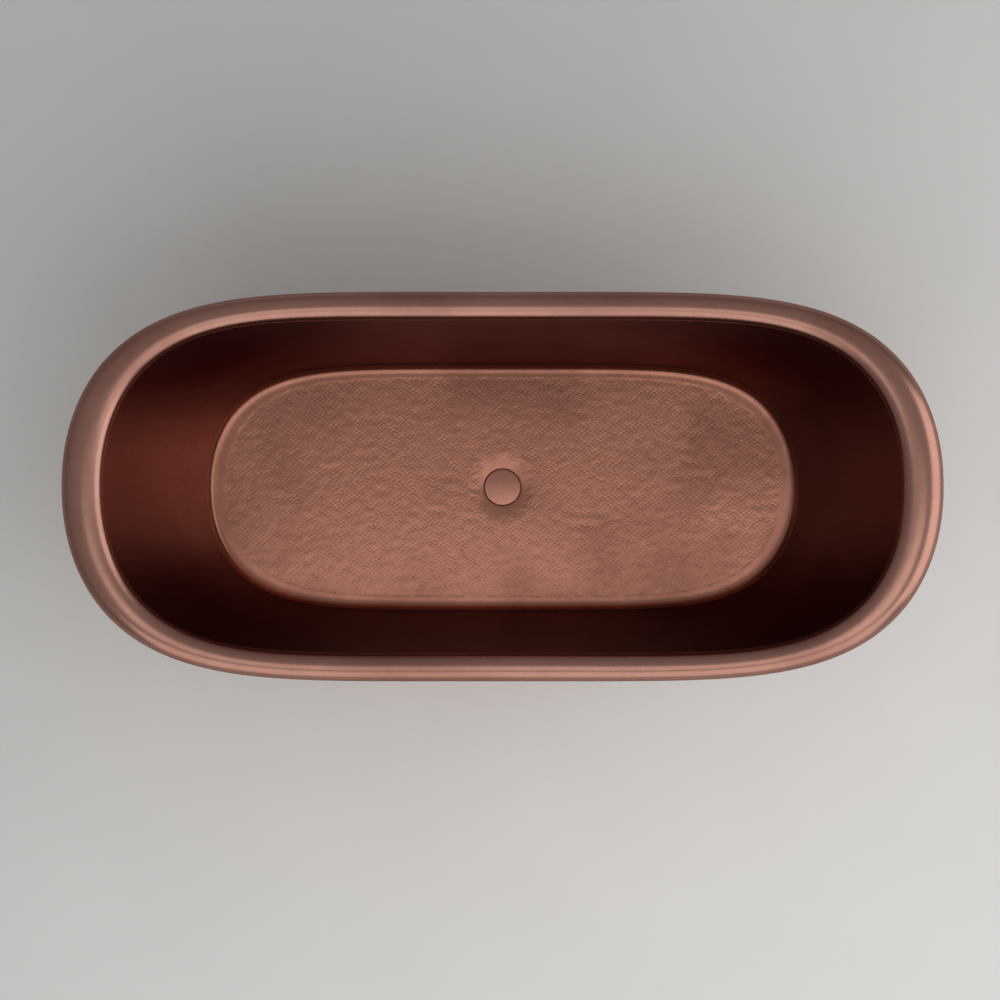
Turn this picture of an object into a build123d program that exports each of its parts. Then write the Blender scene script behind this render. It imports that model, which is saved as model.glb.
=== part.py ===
"""Freestanding double-walled copper bathtub with a rolled rim, click waste and levelling feet.

Frame: origin on the floor under the middle of the tub, +X along its length, +Z up, millimetres.
"""

import os
from math import cos, pi, radians, sin, sqrt

from build123d import *

# Overall size of the rim
TUB_LENGTH = 1700.0
TUB_WIDTH = 756.0
END_HEIGHT = 660.0
SIDE_HEIGHT = 600.0

# Rolled rim, a copper tube of oval section
ROLL_END_WIDTH = 80.0
ROLL_SIDE_WIDTH = 55.0
ROLL_DEPTH = 55.0
ROLL_WALL = 2.0
ROLL_STEPS = 10

# Roundness of the plan outlines: a higher end power gives fuller corners
RIM_OUTER_POWER = 5.0
RIM_INNER_POWER = 5.8
BODY_POWER = 5.5
SIDE_POWER = 2.1
QUARTER_POINTS = 10

# Basin sheet and its floor pan
BASIN_SHEET = 2.0
FLOOR_HEIGHT = 150.0
FLOOR_LENGTH = 1166.0
FLOOR_WIDTH = 466.0
COVE_END_RUN = 18.0
COVE_SIDE_RUN = 16.0
COVE_RISE = 20.0
COVE_ANGLE = 73.0
COVE_STEPS = 5
SEAM_RISE = 16.0
WALL_END_BELLY = 10.0
WALL_SIDE_BELLY = 5.0
WALL_TUCK = 2.0
WALL_SEAM_X = 438.0
WALL_STEPS = 4

# Outer shell and plinth
SHELL_SHEET = 1.5
SHELL_TUCK = 16.0
SHELL_FOOT_LENGTH = 1306.0
SHELL_FOOT_WIDTH = 550.0
SHELL_END_BELLY = 26.0
SHELL_SIDE_BELLY = 12.0
SHELL_STEPS = 5
PLINTH_FLARE = 36.0
PLINTH_KICK = 30.0
PLINTH_BAND = 16.0
PLINTH_STEPS = 4
PLINTH_GROUND_GAP = 4.0

# Base ring that carries the shell
RING_WIDTH = 50.0
RING_THICKNESS = 8.0

# Ladder frame: steel cross members under timber rails
RAIL_LENGTH = 960.0
RAIL_SIZE = 40.0
RAIL_SPACING = 280.0
STRIP_THICKNESS = 6.0
STRIP_WIDTH = 30.0
MEMBER_WIDTH = 40.0
MEMBER_DEPTH = 30.0
MEMBER_WALL = 2.5
INNER_MEMBER_X = 170.0
OUTER_MEMBER_X = 450.0
MEMBER_OVERRUN = 15.0

# Fasteners: bolt diameter, across flats, head and nut heights
M8_BOLT = 8.0
M8_FLATS = 13.0
M8_HEAD = 5.3
M8_NUT = 6.5
M8_WASHER = 18.0
M8_WASHER_THICKNESS = 1.6
M6_BOLT = 6.0
M6_FLATS = 10.0
M6_HEAD = 4.0
M6_NUT = 5.0
THREAD_END = 2.0
SCREW_GRIP = 28.0
PLINTH_SCREW = 4.8
PLINTH_SCREW_HEAD = 9.0
PLINTH_SCREW_HEAD_HEIGHT = 2.4
PLINTH_SCREW_LENGTH = 14.0
PLINTH_SCREW_X = (130.0, 380.0, 600.0)
PAN_STUD_X = 310.0

# Levelling feet
FOOT_Y = 182.0
FOOT_THREAD = 12.0
FOOT_BUSH = 18.0
FOOT_PAD = 50.0
FOOT_PAD_THICKNESS = 10.0
FOOT_PAD_CHAMFER = 4.0
FOOT_SOCKET_DEPTH = 4.0
FOOT_HEX_FLATS = 17.0
FOOT_HEX_HEIGHT = 6.0
FOOT_STUD_ABOVE = 20.0
LOCKNUT_FLATS = 19.0
LOCKNUT_HEIGHT = 8.0

# Click waste in the middle of the floor pan
DISH_TOP = 150.0
DISH_FLAT = 82.0
DISH_DEPTH = 5.0
WASTE_HOLE = 52.0
WASTE_THREAD = 47.8
WASTE_BORE = 38.3
WASTE_FLANGE = 66.0
WASTE_FLANGE_THICKNESS = 2.0
WASTE_LENGTH = 68.0
TOP_SEAL_THICKNESS = 1.2
UNDER_SEAL = 70.0
UNDER_SEAL_THICKNESS = 3.5
BACKNUT_FLATS = 62.0
BACKNUT_HEIGHT = 10.5

# Plug that rises and falls in the waste
CAP_DIAMETER = 73.4
CAP_EDGE = 2.5
CAP_CROWN = 1.6
PLUG_SEAL_OUTER = 54.0
PLUG_SEAL_INNER = 24.0
PLUG_SEAL_THICKNESS = 1.2
PLUG_REST_GAP = 0.1
STEM = 8.0
STEM_COLLAR = 14.0
STEM_COLLAR_HEIGHT = 3.0
STEM_COLLAR_DROP = 4.0
STEM_TAIL = 15.0
CLIP_DIAMETER = 14.0
CLIP_THICKNESS = 2.0
CLIP_INSET = 1.0
GUIDE_HUB = 16.0
GUIDE_HUB_HEIGHT = 27.0
GUIDE_SPOKE_HEIGHT = 12.0
GUIDE_SPOKE_WIDTH = 3.0
GUIDE_SPOKES = 3
SPRING_OUTER = 12.0

# Tail pipe below the waste
TAIL_PIPE = 38.1
TAIL_WALL = 1.6
TAIL_GROUND_GAP = 12.0
TAIL_ENTRY = 15.0
TAIL_NECK = 37.3
TAIL_NECK_DROP = 2.0
TAIL_SEAL_THICKNESS = 3.0
TAIL_NUT_FLATS = 58.0
TAIL_NUT_SHOULDER = 5.0
TAIL_NUT_GRIP = 12.0

# Clearances
BRAZE_GAP = 0.3
FIT_GAP = 0.05
RUNNING_GAP = 0.05
HOLE_GAP = 0.3

# Sizes and heights worked out from the values above
MOUTH_LENGTH = TUB_LENGTH - 2 * ROLL_END_WIDTH
MOUTH_WIDTH = TUB_WIDTH - 2 * ROLL_SIDE_WIDTH
COVE_LENGTH = FLOOR_LENGTH + 2 * COVE_END_RUN * sin(radians(COVE_ANGLE))
COVE_WIDTH = FLOOR_WIDTH + 2 * COVE_SIDE_RUN * sin(radians(COVE_ANGLE))
COVE_TOP = FLOOR_HEIGHT + COVE_RISE * (1 - cos(radians(COVE_ANGLE)))
PAN_UNDERSIDE = FLOOR_HEIGHT - BASIN_SHEET
RAIL_TOP = PAN_UNDERSIDE - STRIP_THICKNESS
MEMBER_TOP = RAIL_TOP - RAIL_SIZE
MEMBER_BOTTOM = MEMBER_TOP - MEMBER_DEPTH
RING_TOP = MEMBER_TOP + RING_THICKNESS
PLINTH_TOP = RING_TOP - BRAZE_GAP
SEAM_HEIGHT = FLOOR_HEIGHT + SEAM_RISE
DISH_HEIGHT = FLOOR_HEIGHT - DISH_DEPTH
FLANGE_TOP = DISH_HEIGHT + TOP_SEAL_THICKNESS + WASTE_FLANGE_THICKNESS
WASTE_BOTTOM = FLANGE_TOP - WASTE_LENGTH
TAIL_TOP = WASTE_BOTTOM + TAIL_ENTRY
TAIL_NUT_BOTTOM = WASTE_BOTTOM - TAIL_SEAL_THICKNESS - TAIL_NUT_SHOULDER
TAIL_NECK_BOTTOM = TAIL_NUT_BOTTOM - TAIL_NECK_DROP
CAP_UNDERSIDE = FLANGE_TOP + PLUG_REST_GAP + PLUG_SEAL_THICKNESS
HUB_TOP = TAIL_TOP + GUIDE_HUB_HEIGHT
COLLAR_TOP = CAP_UNDERSIDE - STEM_COLLAR_DROP
COLLAR_BOTTOM = COLLAR_TOP - STEM_COLLAR_HEIGHT
STEM_BOTTOM = TAIL_TOP - STEM_TAIL

SHEER = END_HEIGHT - SIDE_HEIGHT
NOSE_X = TUB_LENGTH / 2 - ROLL_END_WIDTH / 2
SHEER_RADIUS = (NOSE_X**2 + SHEER**2) / (2 * SHEER)
ROLL_DROP = ROLL_DEPTH / 2
ROLL_SIDE_CENTRE = SIDE_HEIGHT - ROLL_DROP
ABOVE_TUB = END_HEIGHT + ROLL_DEPTH

UPWARD = (Align.CENTER, Align.CENTER, Align.MIN)
DOWNWARD = (Align.CENTER, Align.CENTER, Align.MAX)

os.makedirs("parts", exist_ok=True)


def save(builder, name):
    """Label a finished piece and write it."""
    builder.part.label = name
    export_step(builder.part, f"parts/{name}.step")


# Plan outlines


def quarter_angles(steps):
    """Angles from the nose to the middle of a side, closer together along the side."""
    return [pi / 2 * (1 - (1 - step / steps) ** 2) for step in range(steps + 1)]


def loop_point(length, width, power, angle):
    """Point of a full-ended oval outline at an angle in its first quarter."""
    x = length / 2 * round(cos(angle), 12) ** (2 / power)
    y = width / 2 * sin(angle) ** (2 / SIDE_POWER)
    return x, y


def mirrored_face(quarter, height):
    """Flat face at a height, its outline given in the first quarter and the same in the others."""
    upper = quarter + [(-x, y) for x, y in reversed(quarter[:-1])]
    lower = [(x, -y) for x, y in reversed(upper[1:-1])]
    with BuildSketch(Plane.XY.offset(height)) as sketch:
        with BuildLine():
            Spline(*upper, *lower, periodic=True)
        make_face()
    return sketch.sketch.face()


def loop_face(length, width, height):
    """Flat face of a body outline at a height."""
    angles = quarter_angles(QUARTER_POINTS)
    return mirrored_face([loop_point(length, width, BODY_POWER, angle) for angle in angles], height)


def half_width_at(length, width, x):
    """Half the width of a body outline at a place along its length."""
    return width / 2 * (1 - abs(2 * x / length) ** BODY_POWER) ** (1 / SIDE_POWER)


def outward_at(length, width, x, y):
    """Unit vector square to a body outline at one of its points."""
    along = BODY_POWER / length * abs(2 * x / length) ** (BODY_POWER - 1)
    across = SIDE_POWER / width * abs(2 * y / width) ** (SIDE_POWER - 1)
    return Vector(along if x > 0 else -along, across if y > 0 else -across, 0).normalized()


def sheer_at(x):
    """Height of the rim's top along the length, a shallow arc that rises to the ends."""
    return SIDE_HEIGHT + SHEER_RADIUS - sqrt(SHEER_RADIUS**2 - x**2)


# Rolled rim


def roll_face(angle, shrink):
    """Oval section of the rolled rim, across it at an angle of the first quarter."""
    outer_x, outer_y = loop_point(TUB_LENGTH, TUB_WIDTH, RIM_OUTER_POWER, angle)
    inner_x, inner_y = loop_point(MOUTH_LENGTH, MOUTH_WIDTH, RIM_INNER_POWER, angle)
    across = Vector(outer_x - inner_x, outer_y - inner_y, 0)
    middle_x = (outer_x + inner_x) / 2
    middle_y = (outer_y + inner_y) / 2
    centre = (middle_x, middle_y, sheer_at(middle_x) - ROLL_DROP)
    plane = Plane(origin=centre, x_dir=across, z_dir=across.cross(Vector(0, 0, 1)))
    half_width = across.length / 2 - shrink
    half_depth = ROLL_DROP - shrink
    with BuildSketch(plane) as sketch:
        with BuildLine():
            for start in (0, 90, 180, 270):
                EllipticalCenterArc((0, 0), half_width, half_depth, start_angle=start, arc_size=90)
        make_face()
    return sketch.sketch.face()


def roll_faces(shrink):
    """Sections of a quarter of the rim, from the nose to the middle of a side."""
    return [roll_face(angle, shrink) for angle in quarter_angles(ROLL_STEPS)]


with BuildPart() as rim_roll:
    loft(roll_faces(0))
    loft(roll_faces(ROLL_WALL), mode=Mode.SUBTRACT)
    mirror(about=Plane.YZ)
    mirror(about=Plane.XZ)
save(rim_roll, "rim_roll")

# Space of the rim with its brazing gap, and all that lies above the middle of the rim
with BuildPart() as roll_space:
    loft(roll_faces(-BRAZE_GAP))
    mirror(about=Plane.YZ)
    mirror(about=Plane.XZ)

with BuildPart() as above_roll:
    with BuildSketch(Plane.XZ):
        with BuildLine():
            reach = TUB_LENGTH / 2
            reach_height = sheer_at(reach) - ROLL_DROP
            ThreePointArc((-reach, reach_height), (0, ROLL_SIDE_CENTRE), (reach, reach_height))
            Polyline((reach, reach_height), (reach, ABOVE_TUB), (-reach, ABOVE_TUB), (-reach, reach_height))
        make_face()
    extrude(amount=TUB_WIDTH, both=True)


# Walls between a flat outline below and the rim above


def wall_face(height, foot, foot_height, head, head_power, belly):
    """Level cut through a wall that runs from its foot to the middle of the rolled rim.

    foot, head and belly are each a length and a width. The belly bows the wall outwards.
    """
    quarter = []
    for angle in quarter_angles(QUARTER_POINTS):
        foot_x, foot_y = loop_point(*foot, BODY_POWER, angle)
        head_x, head_y = loop_point(*head, head_power, angle)
        belly_x, belly_y = loop_point(*belly, BODY_POWER, angle)
        share = (height - foot_height) / (sheer_at(head_x) - ROLL_DROP - foot_height)
        bow = sin(pi * min(share, 1))
        x = foot_x + (head_x - foot_x) * share + belly_x * bow
        y = foot_y + (head_y - foot_y) * share + belly_y * bow
        quarter.append((x, y))
    return mirrored_face(quarter, height)


# Basin


def wall_loop(height, outset):
    """Outline of the basin wall at a height, set outwards for the far side of the sheet."""
    foot = (COVE_LENGTH + 2 * outset, COVE_WIDTH + 2 * outset)
    set_out = 2 * (outset + WALL_TUCK)
    head = (MOUTH_LENGTH + set_out, MOUTH_WIDTH + set_out)
    belly = (2 * WALL_END_BELLY, 2 * WALL_SIDE_BELLY)
    return wall_face(height, foot, COVE_TOP, head, RIM_INNER_POWER, belly)


def cove_loop(share, outset):
    """Outline of the rounded edge of the floor pan, from the flat floor to the wall."""
    angle = radians(COVE_ANGLE) * share
    length = FLOOR_LENGTH + 2 * (COVE_END_RUN + outset) * sin(angle)
    width = FLOOR_WIDTH + 2 * (COVE_SIDE_RUN + outset) * sin(angle)
    return loop_face(length, width, FLOOR_HEIGHT + COVE_RISE - (COVE_RISE + outset) * cos(angle))


def pan_loops(outset):
    coves = [cove_loop(step / COVE_STEPS, outset) for step in range(COVE_STEPS + 1)]
    return coves + [wall_loop(SEAM_HEIGHT, outset)]


def wall_loops(outset):
    rise = (END_HEIGHT - SEAM_HEIGHT) / WALL_STEPS
    return [wall_loop(SEAM_HEIGHT + rise * step, outset) for step in range(WALL_STEPS + 1)]


with BuildPart() as basin_floor:
    loft(pan_loops(BASIN_SHEET))
    loft(pan_loops(0), mode=Mode.SUBTRACT)
    with Locations((0, 0, FLOOR_HEIGHT)):
        Hole(DISH_TOP / 2)
    with BuildSketch(Plane.XZ):
        with BuildLine():
            top_line = [
                (WASTE_HOLE / 2, DISH_HEIGHT),
                (DISH_FLAT / 2, DISH_HEIGHT),
                (DISH_TOP / 2, FLOOR_HEIGHT),
            ]
            under_line = [(x, z - BASIN_SHEET) for x, z in reversed(top_line)]
            Polyline(*top_line, *under_line, close=True)
        make_face()
    revolve(axis=Axis.Z)
save(basin_floor, "basin_floor")

# Basin wall, made as a whole and parted into two sides and four corner sheets at brazed seams
with BuildPart() as basin_wall:
    loft(wall_loops(BASIN_SHEET))
    loft(wall_loops(0), mode=Mode.SUBTRACT)
    add(above_roll.part, mode=Mode.SUBTRACT)
    add(roll_space.part, mode=Mode.SUBTRACT)

left_seam = Plane.YZ.offset(-WALL_SEAM_X)
right_seam = Plane.YZ.offset(WALL_SEAM_X)

for side, side_half in (("front", Keep.TOP), ("back", Keep.BOTTOM)):
    with BuildPart() as side_sheet:
        add(basin_wall.part)
        split(bisect_by=Plane.XZ, keep=side_half)
        split(bisect_by=left_seam, keep=Keep.TOP)
        split(bisect_by=right_seam, keep=Keep.BOTTOM)
    save(side_sheet, f"basin_{side}")

    for end, seam, end_half in (("left", left_seam, Keep.BOTTOM), ("right", right_seam, Keep.TOP)):
        with BuildPart() as corner_sheet:
            add(basin_wall.part)
            split(bisect_by=Plane.XZ, keep=side_half)
            split(bisect_by=seam, keep=end_half)
        save(corner_sheet, f"basin_{side}_{end}")


# Outer shell, made as a whole and parted into a front and a back half


def shell_loop(height, inset):
    """Outline of the outer shell at a height, set inwards for the far side of the sheet."""
    foot = (SHELL_FOOT_LENGTH - 2 * inset, SHELL_FOOT_WIDTH - 2 * inset)
    head = (TUB_LENGTH - 2 * (SHELL_TUCK + inset), TUB_WIDTH - 2 * (SHELL_TUCK + inset))
    belly = (2 * SHELL_END_BELLY, 2 * SHELL_SIDE_BELLY)
    return wall_face(height, foot, RING_TOP, head, RIM_OUTER_POWER, belly)


def shell_loops(inset):
    rise = (END_HEIGHT - RING_TOP) / SHELL_STEPS
    return [shell_loop(RING_TOP + rise * step, inset) for step in range(SHELL_STEPS + 1)]


with BuildPart() as outer_shell:
    loft(shell_loops(0))
    loft(shell_loops(SHELL_SHEET), mode=Mode.SUBTRACT)
    add(above_roll.part, mode=Mode.SUBTRACT)
    add(roll_space.part, mode=Mode.SUBTRACT)

with BuildPart() as shell_front:
    add(outer_shell.part)
    split(bisect_by=Plane.XZ, keep=Keep.TOP)
save(shell_front, "shell_front")

with BuildPart() as shell_back:
    add(outer_shell.part)
    split(bisect_by=Plane.XZ, keep=Keep.BOTTOM)
save(shell_back, "shell_back")


# Plinth band with an ogee flare, screwed to the edge of the base ring


def plinth_loop(height, flare, outset):
    spread = 2 * (flare + BRAZE_GAP + outset)
    return loop_face(SHELL_FOOT_LENGTH + spread, SHELL_FOOT_WIDTH + spread, height)


def plinth_loops(outset):
    kick_top = PLINTH_GROUND_GAP + PLINTH_KICK
    band_bottom = PLINTH_TOP - PLINTH_BAND
    stations = [(PLINTH_GROUND_GAP, PLINTH_FLARE), (kick_top - PLINTH_KICK / 2, PLINTH_FLARE)]
    for step in range(PLINTH_STEPS + 1):
        share = step / PLINTH_STEPS
        flare = PLINTH_FLARE * (1 + cos(pi * share)) / 2
        stations.append((kick_top + (band_bottom - kick_top) * share, flare))
    stations += [(PLINTH_TOP - PLINTH_BAND / 2, 0), (PLINTH_TOP, 0)]
    return [plinth_loop(height, flare, outset) for height, flare in stations]


def plinth_screw_planes():
    """Planes on the plinth's outer face, square to it, at the height of the base ring."""
    length = SHELL_FOOT_LENGTH + 2 * (BRAZE_GAP + SHELL_SHEET)
    width = SHELL_FOOT_WIDTH + 2 * (BRAZE_GAP + SHELL_SHEET)
    spots = []
    for x in PLINTH_SCREW_X:
        y = half_width_at(length, width, x)
        spots += [(x, y), (-x, y), (x, -y), (-x, -y)]
    height = RING_TOP - RING_THICKNESS / 2
    return [Plane(origin=(x, y, height), z_dir=outward_at(length, width, x, y)) for x, y in spots]


with BuildPart() as plinth:
    loft(plinth_loops(SHELL_SHEET))
    loft(plinth_loops(0), mode=Mode.SUBTRACT)
    with Locations(*plinth_screw_planes()):
        Cylinder(PLINTH_SCREW / 2 + HOLE_GAP, PLINTH_SCREW_LENGTH, mode=Mode.SUBTRACT)
save(plinth, "plinth")

with BuildPart() as plinth_screws:
    with Locations(*[plane.offset(BRAZE_GAP) for plane in plinth_screw_planes()]):
        Cylinder(PLINTH_SCREW_HEAD / 2, PLINTH_SCREW_HEAD_HEIGHT, align=UPWARD)
        Cylinder(PLINTH_SCREW / 2, PLINTH_SCREW_LENGTH, align=DOWNWARD)
save(plinth_screws, "plinth_screws")

# Base ring, cross members and rails

MEMBER_XS = (-OUTER_MEMBER_X, -INNER_MEMBER_X, INNER_MEMBER_X, OUTER_MEMBER_X)
RING_BOLT_SPOTS = []
for member_x in MEMBER_XS:
    ring_y = half_width_at(SHELL_FOOT_LENGTH - RING_WIDTH, SHELL_FOOT_WIDTH - RING_WIDTH, member_x)
    RING_BOLT_SPOTS += [(member_x, ring_y), (member_x, -ring_y)]
RAIL_YS = (-RAIL_SPACING / 2, RAIL_SPACING / 2)
COACH_SPOTS = [(x, y) for x in MEMBER_XS for y in RAIL_YS]
PAN_STUD_SPOTS = [(x, y) for x in (-PAN_STUD_X, PAN_STUD_X) for y in RAIL_YS]
FOOT_SPOTS = [(x, y) for x in (-OUTER_MEMBER_X, OUTER_MEMBER_X) for y in (-FOOT_Y, FOOT_Y)]


def at_height(spots, height):
    return [(x, y, height) for x, y in spots]


with BuildPart() as base_ring:
    ring_face = loop_face(SHELL_FOOT_LENGTH, SHELL_FOOT_WIDTH, MEMBER_TOP)
    mouth_face = loop_face(SHELL_FOOT_LENGTH - 2 * RING_WIDTH, SHELL_FOOT_WIDTH - 2 * RING_WIDTH, MEMBER_TOP)
    extrude(ring_face, amount=RING_THICKNESS)
    extrude(mouth_face, amount=RING_THICKNESS, mode=Mode.SUBTRACT)
    with Locations(*at_height(RING_BOLT_SPOTS, RING_TOP)):
        Hole(M6_BOLT / 2 + HOLE_GAP)
    with Locations(*plinth_screw_planes()):
        Cylinder(PLINTH_SCREW / 2 + FIT_GAP, PLINTH_SCREW_LENGTH, align=DOWNWARD, mode=Mode.SUBTRACT)
save(base_ring, "base_ring")

with BuildPart() as ring_bolts:
    with Locations(*at_height(RING_BOLT_SPOTS, RING_TOP)):
        Cylinder(M6_BOLT / 2, RING_THICKNESS + MEMBER_DEPTH + M6_NUT + THREAD_END, align=DOWNWARD)
    with BuildSketch(Plane.XY.offset(RING_TOP)):
        with Locations(*RING_BOLT_SPOTS):
            RegularPolygon(M6_FLATS / 2, 6, major_radius=False)
    extrude(amount=M6_HEAD)
save(ring_bolts, "ring_bolts")


def nut_group(spots, top, flats, height, bore):
    """Hexagon nuts under a face."""
    with BuildPart() as nuts:
        with BuildSketch(Plane.XY.offset(top)):
            with Locations(*spots):
                RegularPolygon(flats / 2, 6, major_radius=False)
                Circle(bore / 2 + FIT_GAP, mode=Mode.SUBTRACT)
        extrude(amount=-height)
    return nuts


save(nut_group(RING_BOLT_SPOTS, MEMBER_BOTTOM, M6_FLATS, M6_NUT, M6_BOLT), "ring_nuts")

for number, member_x in enumerate(MEMBER_XS, start=1):
    ring_y = half_width_at(SHELL_FOOT_LENGTH - RING_WIDTH, SHELL_FOOT_WIDTH - RING_WIDTH, member_x)
    with BuildPart() as cross_member:
        with BuildSketch(Plane.XZ):
            with Locations((member_x, MEMBER_TOP - MEMBER_DEPTH / 2)):
                Rectangle(MEMBER_WIDTH, MEMBER_DEPTH)
                Rectangle(MEMBER_WIDTH - 2 * MEMBER_WALL, MEMBER_DEPTH - 2 * MEMBER_WALL, mode=Mode.SUBTRACT)
        extrude(amount=ring_y + MEMBER_OVERRUN, both=True)
        with Locations(*[(member_x, y, MEMBER_TOP) for y in (-ring_y, ring_y)]):
            Hole(M6_BOLT / 2 + HOLE_GAP)
        with Locations(*[(member_x, y, MEMBER_TOP) for y in RAIL_YS]):
            Hole(M8_BOLT / 2 + HOLE_GAP)
        if abs(member_x) == OUTER_MEMBER_X:
            with Locations(*[(member_x, y, MEMBER_TOP) for y in (-FOOT_Y, FOOT_Y)]):
                Hole(FOOT_BUSH / 2 + FIT_GAP)
    save(cross_member, f"cross_member_{number}")

for side, rail_y in zip(("front", "back"), RAIL_YS):
    with BuildPart() as rail:
        with BuildSketch(Plane.XY.offset(MEMBER_TOP)):
            with Locations((0, rail_y)):
                Rectangle(RAIL_LENGTH, RAIL_SIZE)
        extrude(amount=RAIL_SIZE)
        with Locations(*[(x, rail_y, RAIL_TOP) for x in (-PAN_STUD_X, PAN_STUD_X)]):
            Hole(M8_BOLT / 2 + HOLE_GAP)
        with Locations(*[(x, rail_y, MEMBER_TOP) for x in MEMBER_XS]):
            Cylinder(M8_BOLT / 2 + FIT_GAP, SCREW_GRIP, align=UPWARD, mode=Mode.SUBTRACT)
    save(rail, f"rail_{side}")

    with BuildPart() as strip:
        with BuildSketch(Plane.XY.offset(RAIL_TOP)):
            with Locations((0, rail_y)):
                Rectangle(RAIL_LENGTH, STRIP_WIDTH)
            with Locations((-PAN_STUD_X, rail_y), (PAN_STUD_X, rail_y)):
                Circle(M8_BOLT / 2 + HOLE_GAP, mode=Mode.SUBTRACT)
        extrude(amount=STRIP_THICKNESS)
    save(strip, f"rail_strip_{side}")

with BuildPart() as coach_screws:
    with Locations(*at_height(COACH_SPOTS, MEMBER_BOTTOM)):
        Cylinder(M8_BOLT / 2, MEMBER_DEPTH + SCREW_GRIP, align=UPWARD)
    with BuildSketch(Plane.XY.offset(MEMBER_BOTTOM)):
        with Locations(*COACH_SPOTS):
            RegularPolygon(M8_FLATS / 2, 6, major_radius=False)
    extrude(amount=-M8_HEAD)
save(coach_screws, "coach_screws")

# Studs brazed under the floor pan, which hold it down on the rails

with BuildPart() as pan_studs:
    with Locations(*at_height(PAN_STUD_SPOTS, PAN_UNDERSIDE)):
        stud_length = STRIP_THICKNESS + RAIL_SIZE + M8_WASHER_THICKNESS + M8_NUT + THREAD_END
        Cylinder(M8_BOLT / 2, stud_length, align=DOWNWARD)
save(pan_studs, "pan_studs")

with BuildPart() as pan_washers:
    with BuildSketch(Plane.XY.offset(MEMBER_TOP)):
        with Locations(*PAN_STUD_SPOTS):
            Circle(M8_WASHER / 2)
            Circle(M8_BOLT / 2 + HOLE_GAP, mode=Mode.SUBTRACT)
    extrude(amount=-M8_WASHER_THICKNESS)
save(pan_washers, "pan_washers")

save(nut_group(PAN_STUD_SPOTS, MEMBER_TOP - M8_WASHER_THICKNESS, M8_FLATS, M8_NUT, M8_BOLT), "pan_nuts")

# Levelling feet

with BuildPart() as foot_bushes:
    with BuildSketch(Plane.XY.offset(MEMBER_TOP)):
        with Locations(*FOOT_SPOTS):
            Circle(FOOT_BUSH / 2)
            Circle(FOOT_THREAD / 2 + RUNNING_GAP, mode=Mode.SUBTRACT)
    extrude(amount=-MEMBER_DEPTH)
save(foot_bushes, "foot_bushes")

locknuts = nut_group(FOOT_SPOTS, MEMBER_BOTTOM, LOCKNUT_FLATS, LOCKNUT_HEIGHT, FOOT_THREAD)
save(locknuts, "foot_locknuts")

for number, foot_spot in enumerate(FOOT_SPOTS, start=1):
    with BuildPart() as foot_stud:
        with BuildSketch(Plane.XY.offset(FOOT_PAD_THICKNESS - FOOT_SOCKET_DEPTH)):
            with Locations(foot_spot):
                Circle(FOOT_THREAD / 2)
        extrude(amount=MEMBER_TOP + FOOT_STUD_ABOVE - FOOT_PAD_THICKNESS + FOOT_SOCKET_DEPTH)
        with BuildSketch(Plane.XY.offset(FOOT_PAD_THICKNESS)):
            with Locations(foot_spot):
                RegularPolygon(FOOT_HEX_FLATS / 2, 6, major_radius=False)
        extrude(amount=FOOT_HEX_HEIGHT)
    save(foot_stud, f"foot_stud_{number}")

    with BuildPart() as foot_pad:
        with BuildSketch():
            with Locations(foot_spot):
                Circle(FOOT_PAD / 2)
        extrude(amount=FOOT_PAD_THICKNESS)
        chamfer(foot_pad.edges().group_by(Axis.Z)[-1], FOOT_PAD_CHAMFER)
        with Locations((*foot_spot, FOOT_PAD_THICKNESS)):
            Hole(FOOT_THREAD / 2 + FIT_GAP, FOOT_SOCKET_DEPTH)
    save(foot_pad, f"foot_pad_{number}")

# Waste, from the seal on the dish down to the backnut


def collar_ring(bottom, height, outer, inner):
    """Plain ring round the drain's axis."""
    with BuildPart() as ring:
        with BuildSketch(Plane.XY.offset(bottom)):
            Circle(outer / 2)
            Circle(inner / 2, mode=Mode.SUBTRACT)
        extrude(amount=height)
    return ring


def hex_collar(bottom, height, flats, bore):
    """Hexagon ring round the drain's axis."""
    with BuildPart() as ring:
        with BuildSketch(Plane.XY.offset(bottom)):
            RegularPolygon(flats / 2, 6, major_radius=False)
            Circle(bore / 2, mode=Mode.SUBTRACT)
        extrude(amount=height)
    return ring


thread_hole = WASTE_THREAD + 2 * FIT_GAP
seal_hole = WASTE_THREAD + 2 * HOLE_GAP
dish_underside = DISH_HEIGHT - BASIN_SHEET
backnut_top = dish_underside - UNDER_SEAL_THICKNESS

save(collar_ring(DISH_HEIGHT, TOP_SEAL_THICKNESS, WASTE_FLANGE, seal_hole), "waste_top_seal")
save(collar_ring(dish_underside, -UNDER_SEAL_THICKNESS, UNDER_SEAL, seal_hole), "waste_under_seal")
save(hex_collar(backnut_top, -BACKNUT_HEIGHT, BACKNUT_FLATS, thread_hole), "waste_backnut")

with BuildPart() as waste_body:
    with BuildSketch(Plane.XY.offset(WASTE_BOTTOM)):
        Circle(WASTE_THREAD / 2)
    extrude(amount=WASTE_LENGTH)
    with BuildSketch(Plane.XY.offset(FLANGE_TOP)):
        Circle(WASTE_FLANGE / 2)
    extrude(amount=-WASTE_FLANGE_THICKNESS)
    with Locations((0, 0, FLANGE_TOP)):
        Hole(WASTE_BORE / 2)
save(waste_body, "waste_body")

# Tail pipe, held to the waste by a nut that squeezes a seal

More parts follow.
